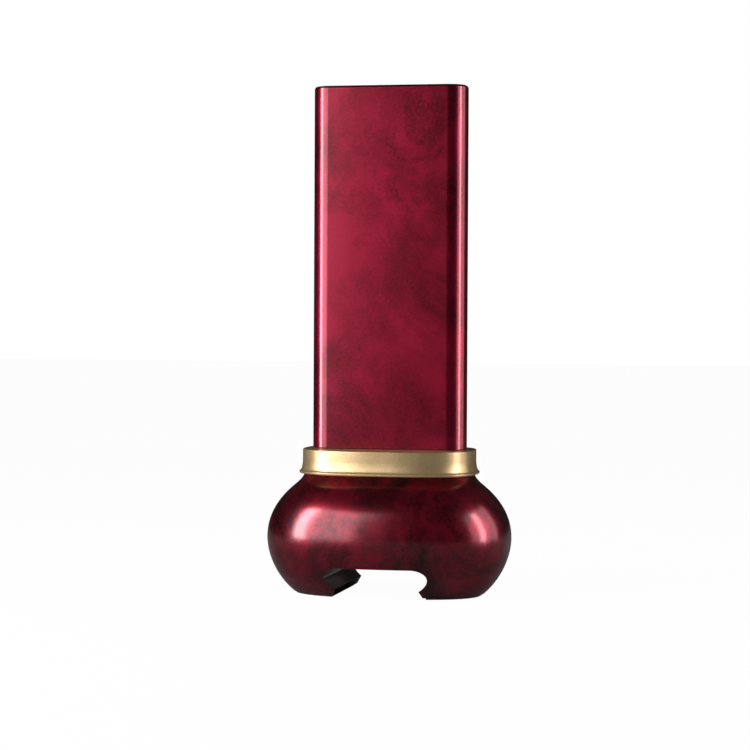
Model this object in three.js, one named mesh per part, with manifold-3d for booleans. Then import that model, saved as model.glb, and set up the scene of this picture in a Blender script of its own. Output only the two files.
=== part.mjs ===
// A lacquered memorial tablet: a tall board that lifts off a stand of a moulded base and a gold tier.
// Millimetres, +Z up, the front faces -Y, and the origin is on the floor under the middle.
import * as THREE from 'three';
import { mergeVertices } from 'three/addons/utils/BufferGeometryUtils.js';
import Module from 'manifold-3d';

const wasm = await Module();
wasm.setup();

// Overall size
const totalHeight = 166;

// Gap left between a piece and the hole that it fits in
const fitClearance = 0.3;

// Felt under the feet
const feltThickness = 0.6;
const feltInset = 0.8;

// Moulded base block: its widest plan, how far its foot and its neck draw in from there on each side,
// and heights above the floor
const baseWidth = 80;
const baseDepth = 55;
const footTuckX = 8.4;
const footTuckY = 9.8;
const neckTuckX = 12;
const neckTuckY = 10.3;
const bellyHeight = 18.5;
const shoulderHeight = 35.5;
const baseTop = 39.4;
const baseExponent = 2.5;

// Curve of the base's side: how far each stretch runs on before it turns
const footLeanOut = 4.6;
const footLeanUp = 4;
const bellyRunDown = 7;
const bellyRunUp = 7.5;
const shoulderStep = 3;
const shoulderLeanOut = 4.8;
const shoulderLeanDown = 4;
const neckTurn = 2.5;

// Open channel from front to back under the base, with a scalloped arch on each side
const channelCeiling = 10.3;
const channelCeilingWidth = 23.6;
const channelScallopWidth = 34;
const channelScallopHeight = 7.2;
const channelTipWidth = 27.4;
const channelTipHeight = 2.9;
const channelMouthWidth = 29.2;
const quarterHandle = 0.5523;

// Gold tier: its plan at the upper edge, and how its side flares below
const tierHeight = 8;
const tierWidth = 56.5;
const tierDepth = 37;
const tierExponent = 2.8;
const tierFlare = 1.1;
const tierFlareTop = 4.6;
const tierLipHeight = 0.4;
const tierEdgeRound = 0.4;

// Upright board
const boardWidth = 51;
const boardThickness = 13;
const boardCornerRadius = 5.8;
const boardTopRound = 1;
const boardBottomRound = 0.4;

// Loose tongue that joins the board to the stand
const tenonWidth = 30;
const tenonThickness = 7;
const tenonCornerRadius = 1;
const tenonInBoard = 10;
const tenonInStand = 12;
const tenonEndRound = 0.6;

// Round dowels that set the tier on the base
const dowelDiameter = 5;
const dowelSpacing = 42;
const dowelInBase = 6.4;
const dowelInTier = 5.6;
const dowelChamfer = 0.5;

// Screws that draw the tier down from below
const screwSpacing = 19;
const screwShankDiameter = 3.5;
const screwLength = 24;
const screwPointLength = 2.5;
const screwHeadDiameter = 7;
const screwHeadHeight = 2.6;
const screwSeat = 20.5;
const screwRecessLength = 4.2;
const screwRecessWidth = 0.9;
const screwRecessDepth = 1.4;
const pilotEndGap = 0.5;

// How finely round forms are divided
const planSteps = 64;
const sideSteps = 8;
const neckSteps = 4;
const flareSteps = 5;
const roundSteps = 3;
const cornerSteps = 6;
const turnedSteps = 24;
const channelCurveSteps = 8;

// How far a cutter runs past the face that it opens
const cutterOverrun = 1;
const weldDistance = 1e-5;

// Surfaces
const finish = (color, roughness, metalness) =>
  new THREE.MeshStandardMaterial({ color, roughness, metalness });
const finishes = {
  boardLacquer: () => finish(0x7a1226, 0.22, 0),
  baseLacquer: () => finish(0x4a0b18, 0.2, 0),
  goldPaint: () => finish(0xb39a6b, 0.38, 0.7),
  bareWood: () => finish(0xb98e5e, 0.7, 0),
  steel: () => finish(0xa6a8aa, 0.35, 0.9),
  felt: () => finish(0x1b1a1c, 0.95, 0),
};

// Joining and cutting closed shapes
function solidFrom(geometry) {
  const bare = geometry.clone();
  bare.deleteAttribute('normal');
  bare.deleteAttribute('uv');
  const merged = mergeVertices(bare, weldDistance);
  return new wasm.Manifold(new wasm.Mesh({
    numProp: 3,
    vertProperties: Float32Array.from(merged.attributes.position.array),
    triVerts: Uint32Array.from(merged.index.array),
  }));
}

function geometryFrom(solid) {
  const mesh = solid.getMesh();
  const geometry = new THREE.BufferGeometry();
  geometry.setAttribute('position', new THREE.BufferAttribute(mesh.vertProperties, 3));
  geometry.setIndex(new THREE.BufferAttribute(mesh.triVerts, 1));
  geometry.computeVertexNormals();
  return geometry;
}

function cutAway(geometry, cutters) {
  const cut = cutters.reduce((left, cutter) => left.subtract(solidFrom(cutter)), solidFrom(geometry));
  return geometryFrom(cut);
}

// Closed skin through rings of equal count, listed from the lowest to the highest
function loft(rings) {
  const count = rings[0].length;
  const positions = rings.flat().flatMap((point) => [point.x, point.y, point.z]);
  const indices = [];
  for (let level = 0; level + 1 < rings.length; level += 1) {
    for (let i = 0; i < count; i += 1) {
      const here = level * count + i;
      const beside = level * count + ((i + 1) % count);
      indices.push(here, beside, beside + count, here, beside + count, here + count);
    }
  }
  const topStart = (rings.length - 1) * count;
  const bottomMiddle = rings.length * count;
  const topMiddle = bottomMiddle + 1;
  positions.push(0, 0, rings[0][0].z, 0, 0, rings.at(-1)[0].z);
  for (let i = 0; i < count; i += 1) {
    const next = (i + 1) % count;
    indices.push(bottomMiddle, next, i, topMiddle, topStart + i, topStart + next);
  }
  const geometry = new THREE.BufferGeometry();
  geometry.setAttribute('position', new THREE.Float32BufferAttribute(positions, 3));
  geometry.setIndex(indices);
  geometry.computeVertexNormals();
  return geometry;
}

// Plan outline between an ellipse and a rectangle, with its points spread evenly by direction
function softOvalRing(halfX, halfY, exponent, offset, z) {
  const ring = [];
  for (let i = 0; i < planSteps; i += 1) {
    const angle = (i / planSteps) * 2 * Math.PI;
    const outX = Math.cos(angle);
    const outY = Math.sin(angle);
    const shareX = (halfX * Math.abs(outX)) ** (1 / (exponent - 1));
    const shareY = (halfY * Math.abs(outY)) ** (1 / (exponent - 1));
    const reach = (shareX ** exponent + shareY ** exponent) ** (1 / exponent);
    ring.push(new THREE.Vector3(
      Math.sign(outX) * halfX * (shareX / reach) + offset * outX,
      Math.sign(outY) * halfY * (shareY / reach) + offset * outY,
      z,
    ));
  }
  return ring;
}

// Plan outline with straight sides and round corners, drawn in by an inset
function roundedRing(width, depth, radius, inset, z) {
  const ring = [];
  const corners = [[1, 1], [-1, 1], [-1, -1], [1, -1]];
  corners.forEach(([sideX, sideY], corner) => {
    for (let i = 0; i <= cornerSteps; i += 1) {
      const angle = (corner + i / cornerSteps) * (Math.PI / 2);
      ring.push(new THREE.Vector3(
        sideX * (width / 2 - radius) + (radius - inset) * Math.cos(angle),
        sideY * (depth / 2 - radius) + (radius - inset) * Math.sin(angle),
        z,
      ));
    }
  });
  return ring;
}

// Insets and heights of a straight wall with a rounded lower and upper edge
function roundedLevels(bottom, top, bottomRound, topRound) {
  const turns = Array.from({ length: roundSteps + 1 }, (_, i) => (i / roundSteps) * (Math.PI / 2));
  const lower = turns.map((turn) => [
    bottomRound * (1 - Math.sin(turn)),
    bottom + bottomRound * (1 - Math.cos(turn)),
  ]);
  const upper = turns.map((turn) => [
    topRound * (1 - Math.cos(turn)),
    top - topRound * (1 - Math.sin(turn)),
  ]);
  return [...lower, ...upper];
}

function roundedBlock(width, depth, radius, levels) {
  return loft(levels.map(([inset, z]) => roundedRing(width, depth, radius, inset, z)));
}

// Round piece standing on its axis, from points given as radius and height
function turned(points) {
  const geometry = new THREE.LatheGeometry(points.map(([r, z]) => new THREE.Vector2(r, z)), turnedSteps);
  return geometry.rotateX(Math.PI / 2);
}

function roundPeg(diameter, bottom, top, chamfer) {
  const radius = diameter / 2;
  return turned([
    [0, bottom],
    [radius - chamfer, bottom],
    [radius, bottom + chamfer],
    [radius, top - chamfer],
    [radius - chamfer, top],
    [0, top],
  ]);
}

function roundCutter(diameter, bottom, top, x, y) {
  const height = top - bottom;
  const geometry = new THREE.CylinderGeometry(diameter / 2, diameter / 2, height, turnedSteps);
  return geometry.rotateX(Math.PI / 2).translate(x, y, bottom + height / 2);
}

function boxBetween(x0, x1, y0, y1, z0, z1) {
  const geometry = new THREE.BoxGeometry(x1 - x0, y1 - y0, z1 - z0);
  return geometry.translate((x0 + x1) / 2, (y0 + y1) / 2, (z0 + z1) / 2);
}

// Plan of the foot and the neck
const footWidth = baseWidth - 2 * footTuckX;
const footDepth = baseDepth - 2 * footTuckY;
const neckWidth = baseWidth - 2 * neckTuckX;
const neckDepth = baseDepth - 2 * neckTuckY;

// Heights that the joints share
const tierTop = baseTop + tierHeight;
const tenonBottom = tierTop - tenonInStand;
const tenonTop = tierTop + tenonInBoard;
const dowelBottom = baseTop - dowelInBase;
const dowelTop = baseTop + dowelInTier;
const screwTip = screwSeat + screwLength;
const sides = [-1, 1];

// Holes: each is the piece that it takes, grown by the clearance
function tenonHole(bottom, top) {
  const width = tenonWidth + 2 * fitClearance;
  const depth = tenonThickness + 2 * fitClearance;
  return roundedBlock(width, depth, tenonCornerRadius + fitClearance, [[0, bottom], [0, top]]);
}

function dowelHoles(bottom, top) {
  const diameter = dowelDiameter + 2 * fitClearance;
  return sides.map((side) => roundCutter(diameter, bottom, top, (side * dowelSpacing) / 2, 0));
}

function screwHoles(bottom, top) {
  const diameter = screwShankDiameter + 2 * fitClearance;
  return sides.map((side) => roundCutter(diameter, bottom, top, 0, (side * screwSpacing) / 2));
}

function screwWells() {
  const diameter = screwHeadDiameter + 2 * fitClearance;
  const bottom = channelCeiling - cutterOverrun;
  return sides.map((side) => roundCutter(diameter, bottom, screwSeat, 0, (side * screwSpacing) / 2));
}

// Side of the base as a path of half width, half depth and height
function baseSide() {
  const at = (x, y, z) => new THREE.Vector3(x, y, z);
  const foot = at(footWidth / 2, footDepth / 2, feltThickness);
  const belly = at(baseWidth / 2, baseDepth / 2, bellyHeight);
  const neck = at(neckWidth / 2, neckDepth / 2, baseTop);
  const shoulder = at(neck.x + shoulderStep, neck.y + shoulderStep, shoulderHeight);
  const swell = new THREE.CubicBezierCurve3(
    foot,
    at(foot.x + footLeanOut, foot.y + footLeanOut, foot.z + footLeanUp),
    at(belly.x, belly.y, belly.z - bellyRunDown),
    belly,
  );
  const round = new THREE.CubicBezierCurve3(
    belly,
    at(belly.x, belly.y, belly.z + bellyRunUp),
    at(shoulder.x + shoulderLeanOut, shoulder.y + shoulderLeanOut, shoulder.z - shoulderLeanDown),
    shoulder,
  );
  const hollow = new THREE.QuadraticBezierCurve3(
    shoulder,
    at(neck.x, neck.y, shoulder.z + neckTurn),
    neck,
  );
  return [
    ...swell.getPoints(sideSteps),
    ...round.getPoints(sideSteps).slice(1),
    ...hollow.getPoints(neckSteps).slice(1),
  ];
}

function channelCutter() {
  const below = feltThickness - cutterOverrun;
  const scallopRise = channelCeiling - channelScallopHeight;
  const scallopRun = (channelScallopWidth - channelCeilingWidth) / 2;
  const outline = new THREE.Shape();
  outline.moveTo(channelMouthWidth / 2, below);
  outline.lineTo(channelMouthWidth / 2, feltThickness);
  outline.lineTo(channelTipWidth / 2, channelTipHeight);
  outline.quadraticCurveTo(
    channelScallopWidth / 2,
    (channelTipHeight + channelScallopHeight) / 2,
    channelScallopWidth / 2,
    channelScallopHeight,
  );
  outline.bezierCurveTo(
    channelScallopWidth / 2,
    channelScallopHeight + quarterHandle * scallopRise,
    channelCeilingWidth / 2 + quarterHandle * scallopRun,
    channelCeiling,
    channelCeilingWidth / 2,
    channelCeiling,
  );
  outline.lineTo(-channelCeilingWidth / 2, channelCeiling);
  outline.bezierCurveTo(
    -channelCeilingWidth / 2 - quarterHandle * scallopRun,
    channelCeiling,
    -channelScallopWidth / 2,
    channelScallopHeight + quarterHandle * scallopRise,
    -channelScallopWidth / 2,
    channelScallopHeight,
  );
  outline.quadraticCurveTo(
    -channelScallopWidth / 2,
    (channelTipHeight + channelScallopHeight) / 2,
    -channelTipWidth / 2,
    channelTipHeight,
  );
  outline.lineTo(-channelMouthWidth / 2, feltThickness);
  outline.lineTo(-channelMouthWidth / 2, below);
  const length = baseDepth + 2 * cutterOverrun;
  const settings = { depth: length, bevelEnabled: false, curveSegments: channelCurveSteps };
  const geometry = new THREE.ExtrudeGeometry(outline, settings);
  return geometry.rotateX(Math.PI / 2).translate(0, length / 2, 0);
}

function baseBlockShape() {
  const skin = loft(baseSide().map((point) => softOvalRing(point.x, point.y, baseExponent, 0, point.z)));
  const above = baseTop + cutterOverrun;
  return cutAway(skin, [
    channelCutter(),
    ...screwWells(),
    ...screwHoles(screwSeat - cutterOverrun, above),
    ...dowelHoles(dowelBottom, above),
    tenonHole(tenonBottom - fitClearance, above),
  ]);
}

// Offsets from the tier's plan, and heights above its lower face
function tierSide() {
  const rounds = roundedLevels(0, tierHeight, tierEdgeRound, tierEdgeRound);
  const lowerEdge = rounds.slice(0, roundSteps + 1).map(([inset, z]) => [tierFlare - inset, z]);
  const upperEdge = rounds.slice(roundSteps + 1).map(([inset, z]) => [-inset, z]);
  const lipTop = tierEdgeRound + tierLipHeight;
  const sweep = Array.from({ length: flareSteps + 1 }, (_, i) => {
    const turn = (i / flareSteps) * (Math.PI / 2);
    return [tierFlare * (1 - Math.sin(turn)), lipTop + (tierFlareTop - lipTop) * (1 - Math.cos(turn))];
  });
  return [...lowerEdge, ...sweep, ...upperEdge];
}

function goldTierShape() {
  const rings = tierSide().map(([offset, z]) =>
    softOvalRing(tierWidth / 2, tierDepth / 2, tierExponent, offset, baseTop + z));
  const below = baseTop - cutterOverrun;
  return cutAway(loft(rings), [
    ...dowelHoles(below, dowelTop + fitClearance),
    ...screwHoles(below, screwTip + pilotEndGap),
    tenonHole(below, tierTop + cutterOverrun),
  ]);
}

function boardShape() {
  const levels = roundedLevels(tierTop, totalHeight, boardBottomRound, boardTopRound);
  const block = roundedBlock(boardWidth, boardThickness, boardCornerRadius, levels);
  return cutAway(block, [tenonHole(tierTop - cutterOverrun, tenonTop)]);
}

function tenonShape() {
  const levels = roundedLevels(tenonBottom, tenonTop, tenonEndRound, tenonEndRound);
  return roundedBlock(tenonWidth, tenonThickness, tenonCornerRadius, levels);
}

function dowelShape(side) {
  const peg = roundPeg(dowelDiameter, dowelBottom, dowelTop, dowelChamfer);
  return peg.translate((side * dowelSpacing) / 2, 0, 0);
}

// Domed head below, straight shank and point above
function screwShape(side) {
  const headRadius = screwHeadDiameter / 2;
  const shankRadius = screwShankDiameter / 2;
  const headBottom = screwSeat - screwHeadHeight;
  const dome = Array.from({ length: roundSteps + 1 }, (_, i) => {
    const turn = (i / roundSteps) * (Math.PI / 2);
    const crown = headRadius / 2;
    return [
      crown + (headRadius - crown) * Math.sin(turn),
      headBottom + (screwHeadHeight / 2) * (1 - Math.cos(turn)),
    ];
  });
  const body = turned([
    [0, headBottom],
    ...dome,
    [headRadius, screwSeat],
    [shankRadius, screwSeat],
    [shankRadius, screwTip - screwPointLength],
    [0, screwTip],
  ]);
  const recessTop = headBottom + screwRecessDepth;
  const recessBottom = headBottom - cutterOverrun;
  const long = screwRecessLength / 2;
  const narrow = screwRecessWidth / 2;
  const screw = cutAway(body, [
    boxBetween(-long, long, -narrow, narrow, recessBottom, recessTop),
    boxBetween(-narrow, narrow, -long, long, recessBottom, recessTop),
  ]);
  return screw.translate(0, (side * screwSpacing) / 2, 0);
}

function feltShape(side) {
  const pad = loft([0, feltThickness].map((z) =>
    softOvalRing(footWidth / 2, footDepth / 2, baseExponent, -feltInset, z)));
  const inner = side * (channelMouthWidth / 2 + feltInset);
  const outer = -side * baseWidth;
  const left = Math.min(inner, outer);
  const right = Math.max(inner, outer);
  const above = feltThickness + cutterOverrun;
  return cutAway(pad, [boxBetween(left, right, -baseDepth, baseDepth, -cutterOverrun, above)]);
}

function piece(name, geometry, material) {
  const mesh = new THREE.Mesh(geometry, material);
  mesh.name = name;
  return mesh;
}

const stand = new THREE.Group();
stand.add(
  piece('base_block', baseBlockShape(), finishes.baseLacquer()),
  piece('gold_tier', goldTierShape(), finishes.goldPaint()),
  piece('dowel_left', dowelShape(-1), finishes.bareWood()),
  piece('dowel_right', dowelShape(1), finishes.bareWood()),
  piece('base_screw_front', screwShape(-1), finishes.steel()),
  piece('base_screw_rear', screwShape(1), finishes.steel()),
  piece('foot_felt_left', feltShape(-1), finishes.felt()),
  piece('foot_felt_right', feltShape(1), finishes.felt()),
);

const tablet = new THREE.Group();
tablet.add(
  piece('tablet_board', boardShape(), finishes.boardLacquer()),
  piece('board_tenon', tenonShape(), finishes.bareWood()),
);

const memorialTablet = new THREE.Group();
memorialTablet.add(stand, tablet);

export default memorialTablet;
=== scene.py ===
import math

import bmesh
import bpy
from mathutils import Matrix, Vector

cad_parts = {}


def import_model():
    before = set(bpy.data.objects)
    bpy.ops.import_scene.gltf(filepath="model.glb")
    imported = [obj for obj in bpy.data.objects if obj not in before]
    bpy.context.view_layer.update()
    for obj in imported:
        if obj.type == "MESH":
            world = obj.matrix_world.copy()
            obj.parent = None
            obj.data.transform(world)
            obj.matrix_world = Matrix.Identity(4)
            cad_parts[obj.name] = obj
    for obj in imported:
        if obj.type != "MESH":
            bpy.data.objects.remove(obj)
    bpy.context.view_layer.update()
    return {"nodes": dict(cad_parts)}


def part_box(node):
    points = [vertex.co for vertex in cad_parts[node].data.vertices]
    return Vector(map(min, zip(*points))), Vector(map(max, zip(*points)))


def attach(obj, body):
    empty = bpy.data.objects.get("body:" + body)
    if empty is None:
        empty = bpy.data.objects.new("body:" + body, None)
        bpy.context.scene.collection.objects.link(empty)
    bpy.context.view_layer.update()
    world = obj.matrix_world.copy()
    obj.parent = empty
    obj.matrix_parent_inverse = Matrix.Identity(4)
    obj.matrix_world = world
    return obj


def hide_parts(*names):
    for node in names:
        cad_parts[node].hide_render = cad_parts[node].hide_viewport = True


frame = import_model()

# Lengths are in millimetres until a mesh is made
MM = 0.001

# Sizes read from the frame
BOARD_LOW, BOARD_HIGH = (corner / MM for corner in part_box("tablet_board"))
TIER_LOW, TIER_HIGH = (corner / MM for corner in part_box("gold_tier"))
BASE_LOW, BASE_HIGH = (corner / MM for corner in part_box("base_block"))
TENON_LOW, TENON_HIGH = (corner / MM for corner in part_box("board_tenon"))
DOWEL_LOW, DOWEL_HIGH = (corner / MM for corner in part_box("dowel_right"))
SCREW_LOW, SCREW_HIGH = (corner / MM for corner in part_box("base_screw_rear"))

# Board
BOARD_CORNER_RADIUS = 5.8
BOARD_TOP_ROUND = 1.0
BOARD_BOTTOM_ROUND = 0.4

# Gold tier
TIER_FLARE = 1.1
TIER_FLARE_TOP = 4.6
TIER_LIP = 0.4
TIER_EDGE_ROUND = 0.4
TIER_EXPONENT = 2.8

# Base block, with the curve of its side
BASE_EXPONENT = 2.5
FOOT_HALF = (31.6, 17.7)
NECK_HALF = (28.0, 17.2)
BELLY_HEIGHT = 18.5
SHOULDER_HEIGHT = 35.5
FOOT_LEAN = (4.6, 4.0)
BELLY_RUN_DOWN = 7.0
BELLY_RUN_UP = 7.5
SHOULDER_STEP = 3.0
SHOULDER_LEAN = (4.8, 4.0)
NECK_TURN = 2.5
BASE_EDGE_ROUND = 0.4

# Channel under the base: half widths and heights of its outline
CHANNEL_MOUTH = 14.6
CHANNEL_TIP = (13.7, 2.9)
CHANNEL_SCALLOP = (17.0, 7.2)
CHANNEL_CEILING = (11.8, 10.3)
QUARTER_HANDLE = 0.5523

# Holes for the joinery
FIT_CLEARANCE = 0.3
TENON_CORNER_RADIUS = 1.0
DOWEL_RADIUS = 2.5
SCREW_SHANK_RADIUS = 1.75
SCREW_HEAD_RADIUS = 3.5
SCREW_HEAD_HEIGHT = 2.6

# Felt feet
FELT_INSET = 0.8
FELT_EDGE_ROUND = 0.2

# How finely the surfaces are divided
ARC_STEPS = 120
CEILING_STEPS = 24
DEPTH_STEPS = 10
MOUTH_STEPS = 3
SCALLOP_STEPS = 10
SIDE_STEPS = 40
OVAL_STEPS = 320
CORNER_STEPS = 20
ROUND_STEPS = 6
FLARE_STEPS = 14
HOLE_STEPS = 40
OVERRUN = 1.0
WELD = 1e-6


# Outlines

def bezier(points, share):
    """Point of a Bezier curve of any order."""
    while len(points) > 1:
        points = [a.lerp(b, share) for a, b in zip(points, points[1:])]
    return points[0]


def oval_point(half, exponent, offset, angle):
    """Point of an outline between an ellipse and a rectangle, found by the direction it faces."""
    out_x, out_y = math.cos(angle), math.sin(angle)
    share_x = (half[0] * abs(out_x)) ** (1 / (exponent - 1))
    share_y = (half[1] * abs(out_y)) ** (1 / (exponent - 1))
    reach = (share_x ** exponent + share_y ** exponent) ** (1 / exponent)
    x = math.copysign(half[0] * share_x / reach, out_x) + offset * out_x
    y = math.copysign(half[1] * share_y / reach, out_y) + offset * out_y
    return x, y


def facing_at(half, exponent, offset, x):
    """Direction, from 0 to a quarter turn, in which the outline faces where it reaches x."""
    low, high = 0.0, math.pi / 2
    for _ in range(50):
        middle = (low + high) / 2
        if oval_point(half, exponent, offset, middle)[0] > x:
            low = middle
        else:
            high = middle
    return (low + high) / 2


def oval_ring(half, exponent, offset, z):
    turns = [2 * math.pi * i / OVAL_STEPS for i in range(OVAL_STEPS)]
    return [(*oval_point(half, exponent, offset, turn), z) for turn in turns]


def side_arc(half, exponent, offset, wall, z):
    """Right-hand stretch of the outline, from the front to the rear, beyond a wall at x."""
    limit = facing_at(half, exponent, offset, wall)
    turns = [limit * (2 * i / ARC_STEPS - 1) for i in range(ARC_STEPS + 1)]
    return [(*oval_point(half, exponent, offset, turn), z) for turn in turns]


def rounded_ring(size, radius, inset, z):
    """Rectangle with round corners, drawn in by an inset."""
    ring = []
    for corner, (side_x, side_y) in enumerate(((1, 1), (-1, 1), (-1, -1), (1, -1))):
        for i in range(CORNER_STEPS + 1):
            angle = (corner + i / CORNER_STEPS) * math.pi / 2
            x = side_x * (size[0] / 2 - radius) + (radius - inset) * math.cos(angle)
            y = side_y * (size[1] / 2 - radius) + (radius - inset) * math.sin(angle)
            ring.append((x, y, z))
    return ring


def rounded_levels(bottom, top, bottom_round, top_round):
    """Insets and heights of a straight wall with a round lower and upper edge."""
    turns = [math.pi / 2 * i / ROUND_STEPS for i in range(ROUND_STEPS + 1)]
    lower = [(bottom_round * (1 - math.sin(t)), bottom + bottom_round * (1 - math.cos(t))) for t in turns]
    upper = [(top_round * (1 - math.cos(t)), top - top_round * (1 - math.sin(t))) for t in turns]
    return lower + upper


def line(start, end, steps):
    start, end = Vector(start), Vector(end)
    return [tuple(start.lerp(end, i / steps)) for i in range(steps + 1)]


def mirrored(rows):
    return [[(-x, y, z) for x, y, z in row] for row in rows]


# Meshes

def build(name, patches, caps):
    """Object welded from grids of points, each with whether its rows close, and from flat caps."""
    bm = bmesh.new()
    for rows, closed in patches:
        grid = [[bm.verts.new(Vector(point) * MM) for point in row] for row in rows]
        for lower, upper in zip(grid, grid[1:]):
            count = len(lower)
            for i in range(count if closed else count - 1):
                j = (i + 1) % count
                bm.faces.new((lower[i], lower[j], upper[j], upper[i]))
    for cap in caps:
        bm.faces.new([bm.verts.new(Vector(point) * MM) for point in cap])
    bmesh.ops.remove_doubles(bm, verts=bm.verts[:], dist=WELD)
    bmesh.ops.recalc_face_normals(bm, faces=bm.faces[:])
    mesh = bpy.data.meshes.new(name)
    bm.to_mesh(mesh)
    bm.free()
    piece = bpy.data.objects.new(name, mesh)
    bpy.context.scene.collection.objects.link(piece)
    return piece


def loft(name, rings):
    return build(name, [(rings, True)], [rings[0], rings[-1]])


def bake_modifiers(piece):
    depsgraph = bpy.context.evaluated_depsgraph_get()
    mesh = bpy.data.meshes.new_from_object(piece.evaluated_get(depsgraph))
    piece.modifiers.clear()
    piece.data = mesh


def round_edges(piece, width):
    bevel = piece.modifiers.new("round_edges", "BEVEL")
    bevel.width = width * MM
    bevel.segments = 4
    bevel.limit_method = "ANGLE"
    bevel.angle_limit = math.radians(48)
    bake_modifiers(piece)


def cut(piece, cutters):
    for cutter in cutters:
        boolean = piece.modifiers.new("hole", "BOOLEAN")
        boolean.operation = "DIFFERENCE"
        boolean.solver = "EXACT"
        boolean.object = cutter
    bake_modifiers(piece)
    for cutter in cutters:
        bpy.data.objects.remove(cutter)


def smooth(piece):
    piece.data.shade_smooth()
    piece.data.set_sharp_from_angle(angle=math.radians(38))
    weighted = piece.modifiers.new("even_shading", "WEIGHTED_NORMAL")
    weighted.keep_sharp = True


# Cutters for the joinery

def round_hole(x, y, radius, bottom, top):
    turns = [2 * math.pi * i / HOLE_STEPS for i in range(HOLE_STEPS)]
    rings = [[(x + radius * math.cos(t), y + radius * math.sin(t), z) for t in turns] for z in (bottom, top)]
    return loft("hole", rings)


def tenon_hole(bottom, top):
    size = [TENON_HIGH[i] - TENON_LOW[i] + 2 * FIT_CLEARANCE for i in (0, 1)]
    radius = TENON_CORNER_RADIUS + FIT_CLEARANCE
    return loft("hole", [rounded_ring(size, radius, 0, z) for z in (bottom, top)])


def dowel_holes(bottom, top):
    place = (DOWEL_LOW[0] + DOWEL_HIGH[0]) / 2
    return [round_hole(side * place, 0, DOWEL_RADIUS + FIT_CLEARANCE, bottom, top) for side in (-1, 1)]


def screw_holes(radius, bottom, top):
    place = (SCREW_LOW[1] + SCREW_HIGH[1]) / 2
    return [round_hole(0, side * place, radius + FIT_CLEARANCE, bottom, top) for side in (-1, 1)]


# Base block

def base_side_curves():
    """The side of the base as three curves of half width, half depth and height."""
    belly_half = ((BASE_HIGH[0] - BASE_LOW[0]) / 2, (BASE_HIGH[1] - BASE_LOW[1]) / 2)
    foot = Vector((*FOOT_HALF, BASE_LOW[2]))
    belly = Vector((*belly_half, BELLY_HEIGHT))
    neck = Vector((*NECK_HALF, BASE_HIGH[2]))
    shoulder = Vector((neck.x + SHOULDER_STEP, neck.y + SHOULDER_STEP, SHOULDER_HEIGHT))
    foot_lean = Vector((FOOT_LEAN[0], FOOT_LEAN[0], FOOT_LEAN[1]))
    shoulder_lean = Vector((SHOULDER_LEAN[0], SHOULDER_LEAN[0], -SHOULDER_LEAN[1]))
    return [
        [foot, foot + foot_lean, belly - Vector((0, 0, BELLY_RUN_DOWN)), belly],
        [belly, belly + Vector((0, 0, BELLY_RUN_UP)), shoulder + shoulder_lean, shoulder],
        [shoulder, Vector((neck.x, neck.y, SHOULDER_HEIGHT + NECK_TURN)), neck],
    ]


def half_at(curves, z):
    """Half width and half depth of the base at a height."""
    curve = next(c for c in curves if z <= c[-1].z + 1e-6)
    low, high = 0.0, 1.0
    for _ in range(50):
        middle = (low + high) / 2
        if bezier(curve, middle).z < z:
            low = middle
        else:
            high = middle
    point = bezier(curve, (low + high) / 2)
    return point.x, point.y


def channel_outline():
    """Half widths and heights up one side of the channel, from its mouth to its ceiling."""
    mouth = Vector((CHANNEL_MOUTH, BASE_LOW[2]))
    tip, scallop, ceiling = Vector(CHANNEL_TIP), Vector(CHANNEL_SCALLOP), Vector(CHANNEL_CEILING)
    rise, run = ceiling.y - scallop.y, scallop.x - ceiling.x
    stretches = [
        ([mouth, tip], MOUTH_STEPS),
        ([tip, Vector((scallop.x, (tip.y + scallop.y) / 2)), scallop], SCALLOP_STEPS),
        ([scallop, scallop + Vector((0, QUARTER_HANDLE * rise)),
          ceiling + Vector((QUARTER_HANDLE * run, 0)), ceiling], SCALLOP_STEPS),
    ]
    outline = [mouth]
    for points, steps in stretches:
        outline += [bezier(points, i / steps) for i in range(1, steps + 1)]
    return outline


def base_ring(half, facing, z):
    """Whole outline of the base in four stretches that line up with the channel below."""
    right = [(*oval_point(half, BASE_EXPONENT, 0, facing * (2 * i / ARC_STEPS - 1)), z)
             for i in range(ARC_STEPS + 1)]
    edge = right[-1][0]
    rear = []
    for i in range(1, CEILING_STEPS):
        x = edge * (1 - 2 * i / CEILING_STEPS)
        rear.append((x, half[1] * (1 - abs(x / half[0]) ** BASE_EXPONENT) ** (1 / BASE_EXPONENT), z))
    left = [(-x, -y, z) for x, y, z in right]
    front = [(-x, -y, z) for x, y, z in rear]
    return right + rear + left + front


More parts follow.
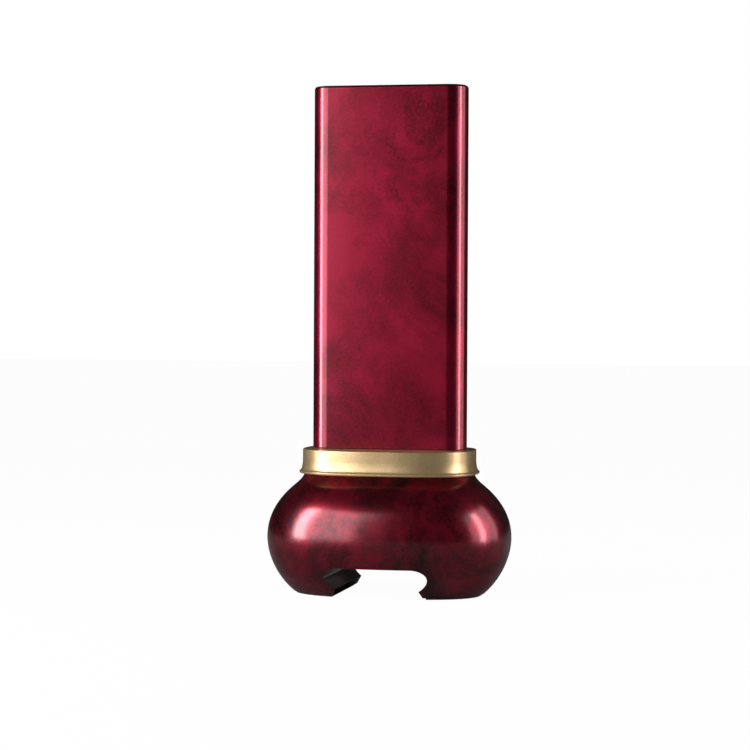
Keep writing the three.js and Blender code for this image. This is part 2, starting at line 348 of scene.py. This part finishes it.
def base_block():
    curves = base_side_curves()
    outline = channel_outline()
    arcs, walls = [], []
    for point in outline:
        half = half_at(curves, point.y)
        arc = side_arc(half, BASE_EXPONENT, 0, point.x, point.y)
        arcs.append(arc)
        walls.append(line(arc[0], arc[-1], DEPTH_STEPS))
    ceiling_z = outline[-1].y
    half = half_at(curves, ceiling_z)
    facing = facing_at(half, BASE_EXPONENT, 0, outline[-1].x)
    top = BASE_HIGH[2]
    heights = [ceiling_z + (top - ceiling_z) * i / SIDE_STEPS for i in range(SIDE_STEPS + 1)]
    rings = [base_ring(half_at(curves, z), facing, z) for z in heights]
    rear_edge = rings[0][ARC_STEPS:ARC_STEPS + CEILING_STEPS + 1]
    ceiling = [line((x, -y, z), (x, y, z), DEPTH_STEPS) for x, y, z in rear_edge]
    sole = arcs[0] + walls[0][-2:0:-1]
    patches = [
        (arcs, False),
        (mirrored(arcs), False),
        (walls, False),
        (mirrored(walls), False),
        (rings, True),
        (ceiling, False),
    ]
    piece = build("base_block_lacquered", patches, [sole, mirrored([sole])[0], rings[-1]])
    round_edges(piece, BASE_EDGE_ROUND)
    above = top + OVERRUN
    seat = SCREW_LOW[2] + SCREW_HEAD_HEIGHT
    cut(piece, [
        tenon_hole(TENON_LOW[2] - FIT_CLEARANCE, above),
        *dowel_holes(DOWEL_LOW[2], above),
        *screw_holes(SCREW_HEAD_RADIUS, ceiling_z - OVERRUN, seat),
        *screw_holes(SCREW_SHANK_RADIUS, seat - OVERRUN, above),
    ])
    smooth(piece)
    return piece


# Gold tier

def tier_side():
    """Offsets from the tier's upper outline, and heights above its lower face."""
    height = TIER_HIGH[2] - TIER_LOW[2]
    levels = rounded_levels(0, height, TIER_EDGE_ROUND, TIER_EDGE_ROUND)
    lower = [(TIER_FLARE - inset, z) for inset, z in levels[:ROUND_STEPS + 1]]
    upper = [(-inset, z) for inset, z in levels[ROUND_STEPS + 1:]]
    lip_top = TIER_EDGE_ROUND + TIER_LIP
    sweep = []
    for i in range(FLARE_STEPS + 1):
        turn = math.pi / 2 * i / FLARE_STEPS
        offset = TIER_FLARE * (1 - math.sin(turn))
        sweep.append((offset, lip_top + (TIER_FLARE_TOP - lip_top) * (1 - math.cos(turn))))
    return lower + sweep + upper


def gold_tier():
    half = [(TIER_HIGH[i] - TIER_LOW[i]) / 2 - TIER_FLARE for i in (0, 1)]
    rings = [oval_ring(half, TIER_EXPONENT, offset, TIER_LOW[2] + z) for offset, z in tier_side()]
    piece = loft("gold_tier_painted", rings)
    below = TIER_LOW[2] - OVERRUN
    cut(piece, [
        tenon_hole(below, TIER_HIGH[2] + OVERRUN),
        *dowel_holes(below, DOWEL_HIGH[2] + FIT_CLEARANCE),
        *screw_holes(SCREW_SHANK_RADIUS, below, SCREW_HIGH[2] + FIT_CLEARANCE),
    ])
    smooth(piece)
    return piece


# Board

def tablet_board():
    size = [BOARD_HIGH[i] - BOARD_LOW[i] for i in (0, 1)]
    levels = rounded_levels(BOARD_LOW[2], BOARD_HIGH[2], BOARD_BOTTOM_ROUND, BOARD_TOP_ROUND)
    piece = loft("tablet_board_lacquered", [rounded_ring(size, BOARD_CORNER_RADIUS, e, z) for e, z in levels])
    cut(piece, [tenon_hole(BOARD_LOW[2] - OVERRUN, TENON_HIGH[2])])
    smooth(piece)
    return piece


# Felt feet

def felt(name, side):
    rows = []
    for inset, z in rounded_levels(0, BASE_LOW[2], FELT_EDGE_ROUND, FELT_EDGE_ROUND):
        wall = CHANNEL_MOUTH + FELT_INSET + inset
        arc = side_arc(FOOT_HALF, BASE_EXPONENT, -FELT_INSET - inset, wall, z)
        rows.append(arc + line(arc[-1], arc[0], DEPTH_STEPS)[1:-1])
    if side < 0:
        rows = mirrored(rows)
    piece = loft(name, rows)
    smooth(piece)
    return piece


# Materials

class Paint:
    """Node tree of one material, with a short call for each kind of texture in it."""

    def __init__(self, name):
        self.material = bpy.data.materials.new(name)
        self.material.use_nodes = True
        self.tree = self.material.node_tree
        self.shader = self.tree.nodes["Principled BSDF"]
        self.place = self.tree.nodes.new("ShaderNodeTexCoord").outputs["Object"]

    def node(self, kind, links, **values):
        node = self.tree.nodes.new(kind)
        for name, value in values.items():
            setattr(node, name, value)
        for socket, value in links.items():
            if isinstance(value, bpy.types.NodeSocket):
                self.tree.links.new(value, node.inputs[socket])
            else:
                node.inputs[socket].default_value = value
        return node

    def noise(self, scale, detail=4.0, roughness=0.5, distortion=0.0, stretch=(1, 1, 1), start=(0, 0, 0)):
        mapping = self.node("ShaderNodeMapping", {"Vector": self.place, "Scale": stretch, "Location": start})
        links = {"Vector": mapping.outputs[0], "Scale": scale, "Detail": detail,
                 "Roughness": roughness, "Distortion": distortion}
        return self.node("ShaderNodeTexNoise", links).outputs[0]

    def fade(self, value, low, high, start=0.0, end=1.0):
        """Value carried from the span low to high onto the span start to end, and held at its ends."""
        links = {"Value": value, "From Min": low, "From Max": high, "To Min": start, "To Max": end}
        return self.node("ShaderNodeMapRange", links).outputs[0]

    def times(self, a, b):
        return self.node("ShaderNodeMath", {0: a, 1: b}, operation="MULTIPLY").outputs[0]

    def blend(self, share, a, b, kind="MIX"):
        node = self.node("ShaderNodeMix", {0: share, 6: a, 7: b}, data_type="RGBA", blend_type=kind)
        return node.outputs[2]

    def bump(self, height, strength, distance):
        links = {"Height": height, "Strength": strength, "Distance": distance * MM}
        self.tree.links.new(self.node("ShaderNodeBump", links).outputs[0], self.shader.inputs["Normal"])

    def drive(self, socket, value):
        self.tree.links.new(value, self.shader.inputs[socket])

    def fix(self, **values):
        for name, value in values.items():
            self.shader.inputs[name.replace("_", " ")].default_value = value


def colour(red, green, blue):
    return (red, green, blue, 1.0)


def lacquer(name, bright, deep, black, cloud_scale, cloud_span, metal, coat_blur, start):
    """Red lacquer over a metallic ground, with dark clouds, a few sharper patches and a fine speckle."""
    paint = Paint(name)
    cloud = paint.noise(cloud_scale, 9, 0.68, 0.5, start=start)
    patch = paint.noise(cloud_scale * 1.5, 6, 0.6, 1.0, start=(start[2], start[0], start[1]))
    region = paint.noise(cloud_scale * 0.45, 2, 0.5, 0.3, start=(start[1], start[2], start[0]))
    speckle = paint.noise(1500, 3, 0.7)
    body = paint.blend(paint.fade(cloud, *cloud_span), bright, deep)
    edge = paint.times(paint.fade(patch, 0.52, 0.55), paint.fade(region, 0.48, 0.62))
    grit = paint.fade(speckle, 0.42, 0.58, 0.25, 1.0)
    body = paint.blend(paint.times(paint.times(edge, 0.6), grit), body, black)
    body = paint.blend(paint.times(paint.fade(cloud, 0.4, 0.62, 0.12, 0.6), grit), body, black)
    paint.drive("Base Color", body)
    paint.drive("Roughness", paint.fade(paint.noise(cloud_scale * 4, 5, 0.6), 0.3, 0.7, 0.27, 0.34))
    paint.bump(speckle, 0.08, 0.02)
    paint.fix(Metallic=metal, IOR=1.5, Coat_Weight=1.0, Coat_Roughness=coat_blur, Coat_IOR=1.5)
    return paint.material


def board_lacquer():
    return lacquer("board_lacquer", colour(0.34, 0.006, 0.034), colour(0.19, 0.003, 0.017),
                   colour(0.07, 0.001, 0.006), 34, (0.42, 0.66), 0.88, 0.13, (3.1, 7.4, 1.2))


def base_lacquer():
    return lacquer("base_lacquer", colour(0.3, 0.006, 0.026), colour(0.07, 0.001, 0.008),
                   colour(0.012, 0.001, 0.002), 46, (0.44, 0.64), 0.85, 0.18, (5.3, 2.2, 8.9))


def gold_paint():
    """Champagne gold paint with a sparkling grain."""
    paint = Paint("gold_paint")
    grain = paint.noise(3400, 2, 0.8)
    drift = paint.noise(90, 4, 0.6)
    body = paint.blend(paint.fade(drift, 0.35, 0.65), colour(0.66, 0.46, 0.235), colour(0.52, 0.34, 0.16))
    body = paint.blend(paint.fade(grain, 0.5, 0.72, 0.0, 0.7), body, colour(0.86, 0.72, 0.48))
    paint.drive("Base Color", body)
    paint.drive("Roughness", paint.fade(grain, 0.3, 0.7, 0.42, 0.3))
    paint.bump(grain, 0.3, 0.03)
    paint.fix(Metallic=0.85, Coat_Weight=0.4, Coat_Roughness=0.25)
    return paint.material


def bare_wood():
    """Planed hardwood with its grain along the height."""
    paint = Paint("bare_wood")
    grain = paint.noise(700, 5, 0.6, 0.4, stretch=(1, 1, 0.08))
    growth = paint.noise(120, 3, 0.5, 1.2, stretch=(1, 1, 0.12))
    body = paint.blend(paint.fade(growth, 0.35, 0.65), colour(0.52, 0.31, 0.14), colour(0.36, 0.19, 0.08))
    body = paint.blend(paint.fade(grain, 0.5, 0.75, 0.0, 0.5), body, colour(0.2, 0.1, 0.04))
    paint.drive("Base Color", body)
    paint.drive("Roughness", paint.fade(grain, 0.3, 0.7, 0.55, 0.75))
    paint.bump(grain, 0.25, 0.05)
    return paint.material


def screw_steel():
    """Plated steel with fine turning marks."""
    paint = Paint("screw_steel")
    marks = paint.noise(900, 3, 0.6, stretch=(0.2, 0.2, 6))
    body = paint.blend(paint.fade(marks, 0.35, 0.65), colour(0.62, 0.62, 0.63), colour(0.44, 0.44, 0.46))
    paint.drive("Base Color", body)
    paint.drive("Roughness", paint.fade(marks, 0.3, 0.7, 0.24, 0.4))
    paint.bump(marks, 0.15, 0.02)
    paint.fix(Metallic=1.0)
    return paint.material


def felt_cloth():
    """Pressed black felt with loose fibres."""
    paint = Paint("felt")
    fibres = paint.noise(2200, 6, 0.75, 2.0)
    body = paint.blend(paint.fade(fibres, 0.4, 0.7), colour(0.010, 0.009, 0.011), colour(0.035, 0.032, 0.036))
    paint.drive("Base Color", body)
    paint.bump(fibres, 0.7, 0.12)
    paint.fix(Roughness=0.95, Sheen_Weight=0.25, Sheen_Roughness=0.5)
    return paint.material


def add_piece(piece, nodes, body, material):
    piece.data.materials.clear()
    piece.data.materials.append(material)
    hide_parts(*nodes)
    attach(piece, body)


def dress_nodes(names, material):
    for name in names:
        node = frame["nodes"][name]
        node.data.materials.clear()
        node.data.materials.append(material)


def make_object():
    felt_material = felt_cloth()
    add_piece(base_block(), ["base_block"], "stand", base_lacquer())
    add_piece(gold_tier(), ["gold_tier"], "stand", gold_paint())
    add_piece(tablet_board(), ["tablet_board"], "tablet", board_lacquer())
    add_piece(felt("felt_foot_left", -1), ["foot_felt_left"], "stand", felt_material)
    add_piece(felt("felt_foot_right", 1), ["foot_felt_right"], "stand", felt_material)
    dress_nodes(["board_tenon", "dowel_left", "dowel_right"], bare_wood())
    dress_nodes(["base_screw_front", "base_screw_rear"], screw_steel())


# Studio: lengths here are in metres

FLOOR_SIZE = 6.0
FLOOR_GLOW = 0.97
FLOOR_COLOUR = (0.9, 0.9, 0.9, 1.0)
ROOM_RADIUS = 0.75
CLOTH_HEIGHT = 0.0001
CLOTH_COLOUR = (0.16, 0.16, 0.16, 1.0)
ROOM_COLOUR = (0.012, 0.012, 0.012, 1.0)
AMBIENT = 0.2
AIM_HEIGHT = 0.08


def floor():
    mesh = bpy.data.meshes.new("floor")
    half = FLOOR_SIZE / 2
    mesh.from_pydata([(-half, -half, 0), (half, -half, 0), (half, half, 0), (-half, half, 0)], [], [(0, 1, 2, 3)])
    plane = bpy.data.objects.new("floor", mesh)
    bpy.context.scene.collection.objects.link(plane)
    paint = Paint("floor")
    tree = paint.tree
    paint.fix(Base_Color=FLOOR_COLOUR, Roughness=0.9)
    path = tree.nodes.new("ShaderNodeLightPath")
    glow = paint.node("ShaderNodeEmission", {"Color": (1, 1, 1, 1), "Strength": 1.0})
    share = paint.times(seen(paint, path), FLOOR_GLOW)
    mixed = paint.node("ShaderNodeMixShader", {0: share, 1: paint.shader.outputs[0], 2: glow.outputs[0]})
    tree.links.new(mixed.outputs[0], tree.nodes["Material Output"].inputs["Surface"])
    plane.data.materials.append(paint.material)


def seen(paint, path):
    """1 on rays from the camera, and on those that mirror or pass through, and 0 on others."""
    first = paint.node("ShaderNodeMath", {0: path.outputs["Is Camera Ray"], 1: path.outputs["Is Glossy Ray"]},
                       operation="MAXIMUM")
    both = paint.node("ShaderNodeMath", {0: first.outputs[0], 1: path.outputs["Is Transmission Ray"]},
                      operation="MAXIMUM")
    return both.outputs[0]


def dark_room():
    """Dark cloth round the set and a grey one over its floor. Only mirrored rays meet them."""
    bm = bmesh.new()
    bmesh.ops.create_circle(bm, cap_ends=True, segments=48, radius=ROOM_RADIUS,
                            matrix=Matrix.Translation((0, 0, CLOTH_HEIGHT)))
    for face in bm.faces:
        face.material_index = 1
    bmesh.ops.create_uvsphere(bm, u_segments=48, v_segments=24, radius=ROOM_RADIUS)
    mesh = bpy.data.meshes.new("dark_room")
    bm.to_mesh(mesh)
    bm.free()
    room = bpy.data.objects.new("dark_room", mesh)
    bpy.context.scene.collection.objects.link(room)
    for name, cloth in (("dark_cloth", ROOM_COLOUR), ("grey_cloth", CLOTH_COLOUR)):
        paint = Paint(name)
        paint.fix(Base_Color=cloth, Roughness=1.0)
        mesh.materials.append(paint.material)
    room.visible_camera = False
    room.visible_diffuse = False
    room.visible_shadow = False
    room.visible_transmission = False


def world():
    scene_world = bpy.data.worlds.new("studio")
    scene_world.use_nodes = True
    bpy.context.scene.world = scene_world
    tree = scene_world.node_tree
    nodes, links = tree.nodes, tree.links
    backdrop = nodes["Background"]
    backdrop.inputs["Color"].default_value = (1, 1, 1, 1)
    ambient = nodes.new("ShaderNodeBackground")
    ambient.inputs["Color"].default_value = (AMBIENT, AMBIENT, AMBIENT, 1)
    path = nodes.new("ShaderNodeLightPath")
    first = nodes.new("ShaderNodeMath")
    both = nodes.new("ShaderNodeMath")
    first.operation = both.operation = "MAXIMUM"
    links.new(path.outputs["Is Camera Ray"], first.inputs[0])
    links.new(path.outputs["Is Glossy Ray"], first.inputs[1])
    links.new(first.outputs[0], both.inputs[0])
    links.new(path.outputs["Is Transmission Ray"], both.inputs[1])
    mixed = nodes.new("ShaderNodeMixShader")
    links.new(both.outputs[0], mixed.inputs[0])
    links.new(ambient.outputs[0], mixed.inputs[1])
    links.new(backdrop.outputs[0], mixed.inputs[2])
    links.new(mixed.outputs[0], nodes["World Output"].inputs["Surface"])


def softbox(name, azimuth, elevation, distance, size, watts):
    """Rectangular lamp aimed at the object. Azimuth 0 is straight in front and grows to the right."""
    turn, lift = math.radians(azimuth), math.radians(elevation)
    way = Vector((math.sin(turn) * math.cos(lift), -math.cos(turn) * math.cos(lift), math.sin(lift)))
    lamp = bpy.data.lights.new(name, "AREA")
    lamp.shape = "RECTANGLE"
    lamp.size, lamp.size_y = size
    lamp.energy = watts
    holder = bpy.data.objects.new(name, lamp)
    holder.location = Vector((0, 0, AIM_HEIGHT)) + way * distance
    holder.rotation_euler = way.to_track_quat("Z", "Y").to_euler()
    bpy.context.scene.collection.objects.link(holder)


def lamps():
    softbox("left_panel", -42, 8, 0.54, (0.5, 0.6), 3.0)
    softbox("left_strip", -58, 8, 0.5, (0.12, 0.5), 2.1)
    softbox("right_panel", 92, 8, 0.54, (0.6, 0.6), 1.6)
    softbox("right_strip", 84, 8, 0.5, (0.1, 0.5), 1.1)


# Camera, fitted to the outline in the photograph

IMAGE_SIZE = 750
CAMERA_TURN = math.radians(12.2)
CAMERA_PITCH = math.radians(1.0)
CAMERA_ROLL = math.radians(0.28)
CAMERA_DISTANCE = 0.735
CAMERA_HEIGHT = 0.0938
FOCAL_PIXELS = 2241
HORIZON_ROW = 307
AXIS_COLUMN = 390.2
SENSOR_WIDTH = 36.0


def camera():
    data = bpy.data.cameras.new("camera")
    data.sensor_width = SENSOR_WIDTH
    data.lens = FOCAL_PIXELS * SENSOR_WIDTH / IMAGE_SIZE
    middle = IMAGE_SIZE / 2
    centre_row = HORIZON_ROW + FOCAL_PIXELS * math.tan(CAMERA_PITCH)
    data.shift_x = (middle - AXIS_COLUMN) / IMAGE_SIZE
    data.shift_y = (centre_row - middle) / IMAGE_SIZE
    right = Vector((math.cos(CAMERA_TURN), math.sin(CAMERA_TURN), 0))
    ahead = Vector((-math.sin(CAMERA_TURN), math.cos(CAMERA_TURN), 0))
    place = Vector((0, 0, CAMERA_HEIGHT)) - ahead * CAMERA_DISTANCE
    axes = Matrix((right, Vector((0, 0, 1)), -ahead)).transposed()
    tilt = Matrix.Rotation(-CAMERA_PITCH, 3, "X") @ Matrix.Rotation(CAMERA_ROLL, 3, "Z")
    holder = bpy.data.objects.new("camera", data)
    holder.matrix_world = Matrix.Translation(place) @ (axes @ tilt).to_4x4()
    bpy.context.scene.collection.objects.link(holder)
    bpy.context.scene.camera = holder


make_object()
floor()
dark_room()
world()
lamps()
camera()
bpy.context.scene.view_settings.view_transform = "Standard"
